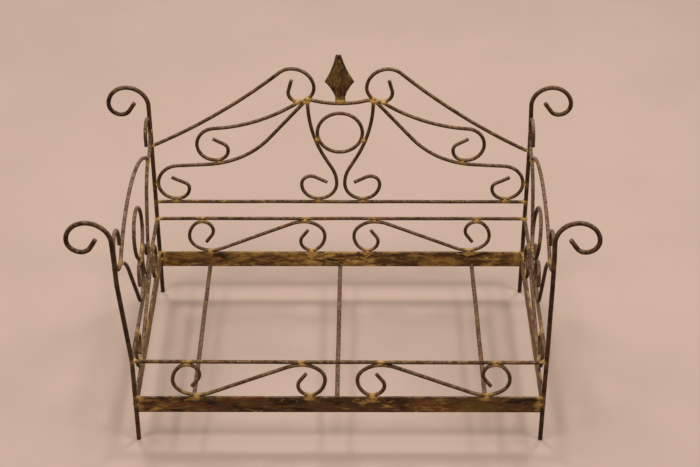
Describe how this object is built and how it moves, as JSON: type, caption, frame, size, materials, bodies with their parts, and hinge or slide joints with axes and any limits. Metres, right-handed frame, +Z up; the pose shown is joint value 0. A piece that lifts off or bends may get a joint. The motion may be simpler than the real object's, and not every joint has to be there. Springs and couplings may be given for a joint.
{
  "type": "wrought iron daybed frame",
  "caption": "Small scrolled iron daybed frame with curled corner legs, a high scrollwork back with a spearhead finial, lower scrolled sides and a low open front.",
  "frame": {"origin": "middle of the frame at floor level, half way between the four legs", "axes": "+X along the length, to the right as seen from the low open front; +Y from the front towards the high back; +Z up"},
  "size_m": [0.643, 0.336, 0.3939],
  "materials": {
    "dark_brown_iron": "dark brown paint with a little rubbed gold, semi-gloss",
    "bronze_iron": "dark brown paint rubbed with antique gold, semi-gloss",
    "old_gold_iron": "mottled antique gold over dark brown, semi-gloss"
  },
  "bodies": {
    "root": {"leg_front_left": "dark_brown_iron", "leg_back_left": "dark_brown_iron", "leg_front_right": "dark_brown_iron", "leg_back_right": "dark_brown_iron", "bar_front": "old_gold_iron", "bar_back": "old_gold_iron", "bar_left": "old_gold_iron", "bar_right": "old_gold_iron", "rail_front": "bronze_iron", "rail_back": "bronze_iron", "rail_left": "bronze_iron", "rail_right": "bronze_iron", "rail_back_upper": "bronze_iron", "slat_left": "dark_brown_iron", "slat_middle": "dark_brown_iron", "slat_right": "dark_brown_iron", "scroll_front_left": "bronze_iron", "scroll_back_left": "bronze_iron", "scroll_side_left": "bronze_iron", "scroll_front_right": "bronze_iron", "scroll_back_right": "bronze_iron", "scroll_side_right": "bronze_iron", "back_arm_left": "bronze_iron", "upper_hook_left": "bronze_iron", "lower_hook_left": "bronze_iron", "lyre_left": "bronze_iron", "back_arm_right": "bronze_iron", "upper_hook_right": "bronze_iron", "lower_hook_right": "bronze_iron", "lyre_right": "bronze_iron", "back_ring": "bronze_iron", "saddle": "bronze_iron", "finial": "old_gold_iron", "side_arm_left": "dark_brown_iron", "side_ring_left": "bronze_iron", "side_lyre_left_front": "bronze_iron", "side_lyre_left_back": "bronze_iron", "side_arm_right": "dark_brown_iron", "side_ring_right": "bronze_iron", "side_lyre_right_front": "bronze_iron", "side_lyre_right_back": "bronze_iron"}
  },
  "joints": []
}
